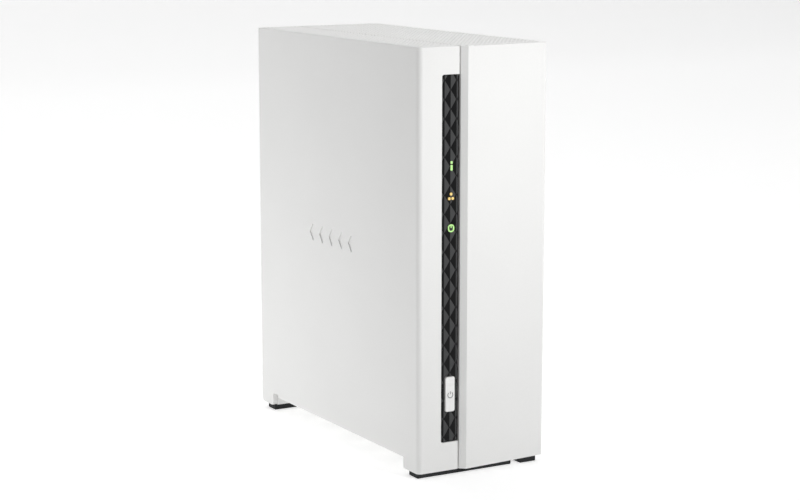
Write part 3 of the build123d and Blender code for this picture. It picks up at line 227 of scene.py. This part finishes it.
def circuit(name, colour):
    """A circuit board: solder mask over copper tracks that run in short straight steps."""
    m = Nodes(name)
    cells = {"Vector": m.place((0.3, 1, 1)), "Scale": 1 / TRACK_SPACING, "Randomness": 0.75}
    far = m.add("ShaderNodeTexVoronoi", cells, distance="MANHATTAN", feature="F2").outputs["Distance"]
    bands = m.add("ShaderNodeMath", {0: far, 1: TRACK_BANDS}, operation="MULTIPLY").outputs["Value"]
    bands = m.add("ShaderNodeMath", {0: bands, 1: 0.5}, operation="PINGPONG").outputs["Value"]
    copper = m.span(bands, 0, 1, start=0.24, end=0.30)
    fibre = m.noise(0.7 * MM, detail=2, stretch=(1, 1, 6))
    mask = m.blend(m.span(fibre, 0, 0.3), rgb(colour), rgb(colour, 0.7))
    m.set(Base_Color=m.blend(copper, mask, rgb(TRACK_GREEN)))
    m.set(Roughness=m.span(fibre, 0.28, 0.42), Normal=m.bump(copper, 0.03 * MM))
    return m.material


BRUSH_Z, BRUSH_Y, WINDING = (9, 9, 0.6), (9, 0.6, 9), (1, 14, 1)
FINISHES = {
    "white_shell": (plastic, {"rough": 0.43, "vary": 0.012}),
    "white_button": (plastic, {"rough": 0.28, "grain": 0.6 * MM, "relief": 0.004 * MM, "vary": 0.01}),
    "grey_plastic": (plastic, {"rough": 0.55, "relief": 0.02 * MM}),
    "foot_rubber": (rubber, {}),
    "smoked_window": (smoked, {}),
    "icon_green": (lit, {"strength": 0.22}),
    "icon_amber": (lit, {"strength": 0.25}),
    "clear_plastic": (clear, {}),
    "circuit_board": (circuit, {}),
    "screw_steel": (metal, {"rough": 0.32}),
    "steel_sheet": (metal, {"rough": 0.38, "spangle": 6 * MM}),
    "lamp_white": (lit, {"strength": 0.4}),
    "black_plastic": (plastic, {"rough": 0.42, "relief": 0.015 * MM}),
    "chip_black": (plastic, {"rough": 0.5, "grain": 0.2 * MM, "relief": 0.012 * MM}),
    "heatsink_metal": (metal, {"rough": 0.34, "brush": BRUSH_Z}),
    "coil_grey": (
        plastic, {"rough": 0.6, "grain": 0.25 * MM, "relief": 0.03 * MM, "vary": 0.1, "patch": 3 * MM},
    ),
    "capacitor_metal": (metal, {"rough": 0.24}),
    "jack_metal": (metal, {"rough": 0.24, "brush": BRUSH_Y}),
    "contact_gold": (metal, {"rough": 0.22}),
    "tongue_blue": (plastic, {"rough": 0.4}),
    "drive_casting": (metal, {"rough": 0.48, "scratch": 0.03 * MM}),
    "drive_lid_metal": (metal, {"rough": 0.33, "brush": BRUSH_Z}),
    "disc_metal": (metal, {"rough": 0.10, "scratch": 0.001 * MM}),
    "fan_black": (plastic, {"rough": 0.4, "relief": 0.012 * MM}),
    "coil_copper": (metal, {"rough": 0.3, "brush": WINDING, "scratch": 0.05 * MM}),
    "header_white": (plastic, {"rough": 0.4}),
    "cable_black": (rubber, {}),
    "ribbon_grey": (plastic, {"rough": 0.4}),
}
COLOURS = {entry["slot"]: entry["base_color"][:3] for entry in frame["record"]["materials"]}
COLOURS.update({                            # these look right in this light at other values than the record's
    "foot_rubber": (0.022, 0.023, 0.024),
    "smoked_window": (0.007, 0.0072, 0.0075),
    "icon_green": (0.50, 0.84, 0.30),
    "icon_amber": (0.93, 0.66, 0.22),
})
MATERIALS = {slot: make(slot, COLOURS[slot], **options) for slot, (make, options) in FINISHES.items()}
SLOT_OF = {entry["node"]: entry["material_slot"] for entry in frame["record"]["subparts"]}


def dress(piece, slot):
    """Gives a piece one material all over."""
    piece.data.materials.clear()
    piece.data.materials.append(MATERIALS[slot])


for node_name, node in NODES.items():
    dress(node, SLOT_OF[node_name])

# ---------------------------------------------------------------- helpers for new pieces
OUT = Vector((0, -1, 0))                    # out of the front
WELD = 1e-6                                 # vertices nearer than this are one


def link_object(name, data):
    """Puts an object into the scene."""
    made = bpy.data.objects.new(name, data)
    bpy.context.scene.collection.objects.link(made)
    return made


def finished(name, mesh):
    """Mesh data from a finished bmesh, which it frees."""
    data = bpy.data.meshes.new(name)
    mesh.to_mesh(data)
    mesh.free()
    return data


def add_piece(name, mesh, slot, body):
    """Links a finished mesh as a piece that rides on a CAD body."""
    bmesh.ops.recalc_face_normals(mesh, faces=mesh.faces)
    piece = link_object(name, finished(name, mesh))
    dress(piece, slot)
    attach(piece, body)
    return piece


def prism(mesh, outline, lift, normal):
    """A closed prism on a flat outline, as far as lift along normal."""
    low = [mesh.verts.new(point) for point in outline]
    high = [mesh.verts.new(point + normal * lift) for point in outline]
    mesh.faces.new(low)
    mesh.faces.new(high)
    for i in range(len(outline)):
        j = (i + 1) % len(outline)
        mesh.faces.new((low[i], low[j], high[j], high[i]))


def small_box(mesh, low, high, bevel=0.12):
    """A box with slightly bevelled edges, bevel being a share of its shortest side."""
    made = bmesh.ops.create_cube(mesh, size=1.0)["verts"]
    size = high - low
    bmesh.ops.scale(mesh, vec=size, verts=made)
    bmesh.ops.translate(mesh, vec=(low + high) / 2, verts=made)
    edges = list({edge for vertex in made for edge in vertex.link_edges})
    bmesh.ops.bevel(mesh, geom=edges, offset=min(size) * bevel, segments=1, affect="EDGES")


# ---------------------------------------------------------------- fine diamond pattern on the top
SHELL_LOW, SHELL_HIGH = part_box("left_shell")
COVER_LOW, COVER_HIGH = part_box("case_cover")
WINDOW_LOW, WINDOW_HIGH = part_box("window_strip")
FACE, TOP = SHELL_LOW.y, SHELL_HIGH.z
SHELL_EDGE = WINDOW_HIGH.x - 1.4 * MM       # the strip runs on past the left shell's edge, behind the cover
COVER_EDGE = COVER_LOW.x
STEP_Y = FACE + 0.2 * MM                    # front of the cover's slanted step, where it starts
RIDGE_X = COVER_EDGE + 2.45 * MM            # where that step meets the wide front panel
PANEL_FALL = 3.2 * MM                       # how far the panel falls back by its right end
DIAMOND_X, DIAMOND_Y, DIAMOND_H = 2.07 * MM, 2.9 * MM, 0.34 * MM
DIAMOND_VALLEY = 0.02 * MM                  # height of the lowest points over the CAD's top face
TOP_SINK = 0.05 * MM                        # the sheet's underside is this far below that face
TOP_MARGIN, SEAM_MARGIN = 0.5 * MM, 0.1 * MM


def cover_front(x):
    """The front edge of the cover's top at this x."""
    if x < RIDGE_X:
        return STEP_Y + (x - COVER_EDGE) / (RIDGE_X - COVER_EDGE) * (COVER_LOW.y - STEP_Y)
    return COVER_LOW.y + PANEL_FALL * (x - RIDGE_X) / (COVER_HIGH.x - RIDGE_X)


def open_edges(mesh):
    """The edges with a face on one side only."""
    return [edge for edge in mesh.edges if len(edge.link_faces) == 1]


def diamond_sheet(name, left, right, front, body):
    """A thin closed sheet of low pyramids, from a front line back to the rear edge."""
    mesh = bmesh.new()
    step_x, step_y = DIAMOND_X / 2, DIAMOND_Y / 2
    columns = int((right - left) / step_x)
    rows = int((COVER_HIGH.y - COVER_LOW.y) / step_y)
    rear = COVER_HIGH.y - TOP_MARGIN
    grid = []
    for i in range(columns + 1):
        x = right - i * step_x
        line = []
        for j in range(rows + 1):
            y = rear - j * step_y
            stop = front(x) + TOP_MARGIN
            raised = (i + j) % 2 == 0 and y > stop and 0 < i < columns and j > 0
            z = TOP + (DIAMOND_H if raised else DIAMOND_VALLEY)
            line.append(mesh.verts.new((x, max(y, stop), z)))
        grid.append(line)
    for i in range(columns):
        for j in range(rows):
            a, b, c, d = grid[i][j], grid[i + 1][j], grid[i + 1][j + 1], grid[i][j + 1]
            if (a.co - d.co).length < WELD / 10 and (b.co - c.co).length < WELD / 10:
                continue
            if (i + j) % 2 == 0:
                mesh.faces.new((a, b, d))
                mesh.faces.new((b, c, d))
            else:
                mesh.faces.new((a, b, c))
                mesh.faces.new((a, c, d))
    bmesh.ops.remove_doubles(mesh, verts=mesh.verts, dist=WELD)
    made = bmesh.ops.extrude_edge_only(mesh, edges=open_edges(mesh))["geom"]
    for item in made:
        if isinstance(item, bmesh.types.BMVert):
            item.co.z = TOP - TOP_SINK
    bmesh.ops.contextual_create(mesh, geom=open_edges(mesh))
    add_piece(name, mesh, "white_shell", body)


diamond_sheet("top_pattern_left", CAD_LOW.x + TOP_MARGIN, SHELL_EDGE - SEAM_MARGIN, lambda x: FACE, "base")
diamond_sheet("top_pattern_cover", COVER_EDGE + SEAM_MARGIN, CAD_HIGH.x - TOP_MARGIN, cover_front, "cover")

# ---------------------------------------------------------------- facets on the indicator strip
WINDOW_LEFT, WINDOW_RIGHT = CAD_LOW.x + 11.65 * MM, SHELL_EDGE - 0.4 * MM
WINDOW_FLOOR, WINDOW_TOP = 15.4 * MM, 176.45 * MM
FACET_X, FACET_Z = 3.0 * MM, 4.119 * MM     # half the width and half the height of a diamond
FACET_H, FACET_TIP_H = 0.34 * MM, 0.06 * MM     # height of the ridge and of the side tips
FACET_LINE = 0.02 * MM                      # gap left round each diamond
FACET_SINK = 0.05 * MM
FACET_CENTRE_X = CAD_LOW.x + 16.0 * MM
FACET_FIRST_Z = 165.87 * MM
FACET_ROWS, FACET_COLUMNS = range(-3, 42), range(-2, 3)
# The second, paler black is a painted reflection of the lights, put on the halves that face right; the first
# is the plain smoked black.
FACET_DARK, FACET_PAINTED_REFLECTION = (0.006, 0.0062, 0.0065), (0.060, 0.061, 0.062)
RIGHT_FACING, FRONT_FACING = 0.05, -0.5     # least x and most y of the normal of a face that gets the painted reflection


def facets():
    """Long diamonds in the strip. Each has an upright ridge in its middle, so its halves face two ways."""
    mesh = bmesh.new()
    face = WINDOW_LOW.y
    for row in FACET_ROWS:
        z = FACET_FIRST_Z - row * FACET_Z
        for column in FACET_COLUMNS:
            if column % 2 != row % 2:
                continue
            x = FACET_CENTRE_X + column * FACET_X
            for side in (-1, 1):
                tip = Vector((x + side * (FACET_X - FACET_LINE), face, z))
                up = Vector((x, face, z + FACET_Z - FACET_LINE))
                down = Vector((x, face, z - FACET_Z + FACET_LINE))
                base = [mesh.verts.new(point - OUT * FACET_SINK) for point in (up, tip, down)]
                rises = zip((up, tip, down), (FACET_H, FACET_TIP_H, FACET_H))
                roof = [mesh.verts.new(point + OUT * rise) for point, rise in rises]
                mesh.faces.new(base)
                mesh.faces.new(roof)
                for i in range(3):
                    j = (i + 1) % 3
                    mesh.faces.new((base[i], base[j], roof[j], roof[i]))
    bmesh.ops.recalc_face_normals(mesh, faces=mesh.faces)
    cuts = (
        ((WINDOW_LEFT, 0, 0), (-1, 0, 0)), ((WINDOW_RIGHT, 0, 0), (1, 0, 0)),
        ((0, 0, WINDOW_FLOOR), (0, 0, -1)), ((0, 0, WINDOW_TOP), (0, 0, 1)),
    )
    for point, normal in cuts:
        geometry = list(mesh.verts) + list(mesh.edges) + list(mesh.faces)
        cut = bmesh.ops.bisect_plane(mesh, geom=geometry, plane_co=point, plane_no=normal, clear_outer=True)
        edges = [item for item in cut["geom_cut"] if isinstance(item, bmesh.types.BMEdge)]
        bmesh.ops.holes_fill(mesh, edges=edges)
    return add_piece("window_facets", mesh, "smoked_window", "base")


CORNER_STEPS = 6


def cut_out(piece, low, high, radius):
    """Cuts an upright rounded slot right through a piece, from front to back."""
    mesh = bmesh.new()
    corners = [(low.x, low.z, 180), (high.x, low.z, 270), (high.x, high.z, 0), (low.x, high.z, 90)]
    outline = []
    for x, z, start in corners:
        cx = x + (radius if x == low.x else -radius)
        cz = z + (radius if z == low.z else -radius)
        for k in range(CORNER_STEPS + 1):
            angle = math.radians(start + 90 * k / CORNER_STEPS)
            outline.append(Vector((cx + radius * math.cos(angle), high.y, cz + radius * math.sin(angle))))
    prism(mesh, outline, high.y - low.y, OUT)
    bmesh.ops.recalc_face_normals(mesh, faces=mesh.faces)
    cutter = link_object("cutter", finished("cutter", mesh))
    modifier = piece.modifiers.new("slot", "BOOLEAN")
    modifier.operation, modifier.object, modifier.solver = "DIFFERENCE", cutter, "EXACT"
    bpy.context.view_layer.update()
    graph = bpy.context.evaluated_depsgraph_get()
    done = bpy.data.meshes.new_from_object(piece.evaluated_get(graph))
    piece.modifiers.clear()
    piece.data = done
    bpy.data.objects.remove(cutter)


def paint_facet_reflections(piece):
    """The halves that face right get a paler black, a painted reflection of the lights on them; the other
    halves keep the plain smoked black.
    """
    piece.data.materials.clear()
    piece.data.materials.append(smoked("smoked_facet_dark", FACET_DARK))
    piece.data.materials.append(smoked("smoked_facet_painted_reflection", FACET_PAINTED_REFLECTION))
    for polygon in piece.data.polygons:
        painted_reflection = polygon.normal.x > RIGHT_FACING and polygon.normal.y < FRONT_FACING
        polygon.material_index = 1 if painted_reflection else 0


BUTTON_W, BUTTON_H, BUTTON_Z = 4.7 * MM, 15.6 * MM, 36.8 * MM
SLOT_GAP, SLOT_ROUND = 0.25 * MM, 1.1 * MM
SLOT_FRONT, SLOT_BACK = 2 * MM, 4 * MM      # how far the cut reaches in front of and behind the face

window_facets = facets()
half_slot = Vector((BUTTON_W / 2 + SLOT_GAP, 0, BUTTON_H / 2 + SLOT_GAP))
slot_centre = Vector((FACET_CENTRE_X, FACE, BUTTON_Z))
cut_out(
    window_facets,
    slot_centre - half_slot + OUT * SLOT_FRONT,
    slot_centre + half_slot - OUT * SLOT_BACK,
    SLOT_ROUND,
)
# paint the reflection of the lights onto the facet halves that face right
paint_facet_reflections(window_facets)

# ---------------------------------------------------------------- printed power mark on the button
MARK_R, MARK_LINE, MARK_LIFT = 1.42 * MM, 0.34 * MM, 0.03 * MM
MARK_Z = BUTTON_Z - 0.3 * MM
MARK_GAP = 38                               # half the ring's gap, in degrees
MARK_STEPS = 28
BAR_LOW, BAR_HIGH = 0.25 * MARK_R, 1.15 * MARK_R


def power_mark():
    """An open ring with a bar in its gap, a thin grey film that rides on the button."""
    mesh = bmesh.new()
    button_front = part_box("power_button")[0].y
    centre = Vector((FACET_CENTRE_X, button_front, MARK_Z))
    rows = []
    for k in range(MARK_STEPS + 1):
        angle = math.radians(90 + MARK_GAP + (360 - 2 * MARK_GAP) * k / MARK_STEPS)
        along = Vector((math.cos(angle), 0, math.sin(angle)))
        ends = (centre + along * (MARK_R - MARK_LINE), centre + along * MARK_R)
        rows.append([mesh.verts.new(point + OUT * lift) for point in ends for lift in (0, MARK_LIFT)])
    for a, b in zip(rows, rows[1:]):
        for i, j in ((0, 1), (1, 3), (3, 2), (2, 0)):
            mesh.faces.new((a[i], a[j], b[j], b[i]))
    for end in (rows[0], rows[-1]):
        mesh.faces.new((end[0], end[1], end[3], end[2]))
    half = MARK_LINE / 2
    corners = ((-half, BAR_LOW), (half, BAR_LOW), (half, BAR_HIGH), (-half, BAR_HIGH))
    prism(mesh, [centre + Vector((x, 0, z)) for x, z in corners], MARK_LIFT, OUT)
    add_piece("power_mark", mesh, "grey_plastic", "power_button")


power_mark()

# ---------------------------------------------------------------- small components on the mainboard
BOARD_LOW, BOARD_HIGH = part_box("mainboard")
BOARD_NODES = (
    "processor", "heatsink", "board_chips", "power_coils", "capacitors", "buzzer", "cell_holder",
    "network_jack", "usb_shells", "power_jack", "reset_switch", "drive_sockets", "cable_sockets",
    "board_screws",
)
ROWS_TRIED, LONGEST_ROW = 90, 4
BOARD_EDGE, BOARD_TOP_EDGE = 4 * MM, 2 * MM     # free edges: where rows start, and at the top where they end
SOCKET_START, SOCKET_END = 22 * MM, 20 * MM     # the same two for the rear, where the sockets stand
PART_SIZES = ((1.6, 0.8, 0.55), (2.0, 1.25, 0.7), (1.0, 0.5, 0.4))     # length, width, height in mm
PART_SPACE = 0.7                            # mm between the parts of a row
PART_CLEAR = 1.4 * MM
BODY_SHARE = 0.98                           # a body is a little smaller than its ends, to share no faces
END_HALF, END_SHIFT = 0.45, 0.6             # an end's half length and its place, as shares of half the part
END_GROW, END_RISE = 1.02, 1.04
NEAR_BOARD = 1 * MM


def islands(name):
    """The boxes of a node's separate solids near the mainboard."""
    mesh = bmesh.new()
    mesh.from_mesh(NODES[name].data)
    bmesh.ops.remove_doubles(mesh, verts=mesh.verts, dist=WELD)
    left, boxes = set(mesh.verts), []
    while left:
        queue, group = [left.pop()], []
        while queue:
            vertex = queue.pop()
            group.append(vertex.co.copy())
            for edge in vertex.link_edges:
                other = edge.other_vert(vertex)
                if other in left:
                    left.remove(other)
                    queue.append(other)
        low = Vector([min(co[k] for co in group) for k in range(3)])
        high = Vector([max(co[k] for co in group) for k in range(3)])
        if low.x < BOARD_HIGH.x + NEAR_BOARD:
            boxes.append((low, high))
    mesh.free()
    return boxes


STANDING = [box for name in BOARD_NODES for box in islands(name)]


def taken(y, z, margin):
    """True where a CAD part or screw already stands on the mainboard."""
    return any(
        low.y - margin < y < high.y + margin and low.z - margin < z < high.z + margin
        for low, high in STANDING
    )


def board_components():
    """Resistors and ceramic capacitors in short rows, with tinned ends."""
    draw = random.Random(7)
    bodies, ends = bmesh.new(), bmesh.new()
    for _ in range(ROWS_TRIED):
        y = draw.uniform(BOARD_LOW.y + BOARD_EDGE, BOARD_HIGH.y - SOCKET_START)
        z = draw.uniform(BOARD_LOW.z + BOARD_EDGE, BOARD_HIGH.z - BOARD_EDGE)
        along_y = draw.random() < 0.5
        length, width, height = draw.choice(PART_SIZES)
        for k in range(draw.randint(1, LONGEST_ROW)):
            step = k * (width + PART_SPACE) * MM
            cy, cz = (y, z + step) if along_y else (y + step, z)
            past = cy > BOARD_HIGH.y - SOCKET_END or cz > BOARD_HIGH.z - BOARD_TOP_EDGE
            if past or taken(cy, cz, PART_CLEAR):
                continue
            centre = Vector((BOARD_HIGH.x, cy, cz))
            rise = Vector((height * MM, 0, 0))
            if along_y:
                half = Vector((0, length / 2, width / 2)) * MM
                cap = Vector((0, half.y * END_HALF, half.z))
                shift = Vector((0, half.y * END_SHIFT, 0))
            else:
                half = Vector((0, width / 2, length / 2)) * MM
                cap = Vector((0, half.y, half.z * END_HALF))
                shift = Vector((0, 0, half.z * END_SHIFT))
            small_box(bodies, centre - half * BODY_SHARE, centre + half * BODY_SHARE + rise)
            for sign in (-1, 1):
                low = centre + sign * shift - cap * END_GROW
                high = centre + sign * shift + cap * END_GROW + rise * END_RISE
                small_box(ends, low, high)
    add_piece("board_small_parts", bodies, "chip_black", "base")
    add_piece("board_small_part_ends", ends, "screw_steel", "base")


board_components()

# ---------------------------------------------------------------- floor and light
FLOOR_FRONT, FLOOR_BACK, FLOOR_TOP = -16.0, 1.6, 3.0
FRONT_HALF, BACK_HALF = 24.0, 4.0           # half widths
BEND, BEND_STEPS = 0.9, 8                   # radius of the curve up behind
FLOOR_WHITE, FLOOR_GLOW = 0.9, 0.46
WHITE = (1, 1, 1, 1)


def make_floor():
    """A wide pale floor that curves up behind. It runs out wider in front, for the views from behind."""
    mesh = bmesh.new()
    profile = [(FLOOR_FRONT, 0.0, FRONT_HALF), (FLOOR_BACK, 0.0, BACK_HALF)]
    for step in range(1, BEND_STEPS + 1):
        turn = step * math.pi / (2 * BEND_STEPS)
        profile.append((FLOOR_BACK + BEND * math.sin(turn), BEND - BEND * math.cos(turn), BACK_HALF))
    profile.append((FLOOR_BACK + BEND, FLOOR_TOP, BACK_HALF))
    rows = [[mesh.verts.new((x, y, z)) for x in (-half, half)] for y, z, half in profile]
    for a, b in zip(rows, rows[1:]):
        mesh.faces.new((a[0], a[1], b[1], b[0]))
    floor = link_object("floor", finished("floor", mesh))
    for polygon in floor.data.polygons:
        polygon.use_smooth = True
    m = Nodes("floor_paper")
    m.set(Base_Color=rgb((FLOOR_WHITE,) * 3), Roughness=0.9)
    m.set(Emission_Color=WHITE, Emission_Strength=FLOOR_GLOW)
    floor.data.materials.append(m.material)


def aimed_light(name, data, at, aim):
    """Places a light so that it faces a point."""
    light = link_object(name, data)
    light.location = Vector(at)
    light.rotation_euler = (Vector(aim) - Vector(at)).to_track_quat("-Z", "Y").to_euler()


def area_light(name, at, aim, side, power):
    """A soft square light."""
    data = bpy.data.lights.new(name, "AREA")
    data.shape, data.size, data.size_y, data.energy = "RECTANGLE", side, side, power
    aimed_light(name, data, at, aim)


def spot_light(name, at, aim, angle, power):
    """A soft spot that fades out from its middle to its edge."""
    data = bpy.data.lights.new(name, "SPOT")
    data.spot_size, data.spot_blend = math.radians(angle), 1.0
    data.energy, data.shadow_soft_size = power, 0.15
    aimed_light(name, data, at, aim)


def make_world(strength):
    """Even white light from all round."""
    world = bpy.data.worlds.new("studio")
    world.use_nodes = True
    background = world.node_tree.nodes["Background"]
    background.inputs["Color"].default_value = WHITE
    background.inputs["Strength"].default_value = strength
    bpy.context.scene.world = world


make_floor()
UNIT_CENTRE = (0, 0, 0.09)
FRONT_UPPER, SIDE_LOWER_REAR = (0.02, -0.08, 0.175), (-0.033, 0.11, 0.04)
area_light("right_front", at=(1.4, -1.1, 0.7), aim=UNIT_CENTRE, side=0.8, power=3.4)
area_light("top_fill", at=(0.1, 0.3, 2.0), aim=UNIT_CENTRE, side=1.4, power=12.2)
spot_light("front_top", at=(0.5, -1.4, 0.8), aim=FRONT_UPPER, angle=13, power=78)
spot_light("left_back", at=(-1.5, 0.7, 0.35), aim=SIDE_LOWER_REAR, angle=14, power=36)
make_world(strength=0.21)
bpy.context.scene.view_settings.view_transform = "Standard"
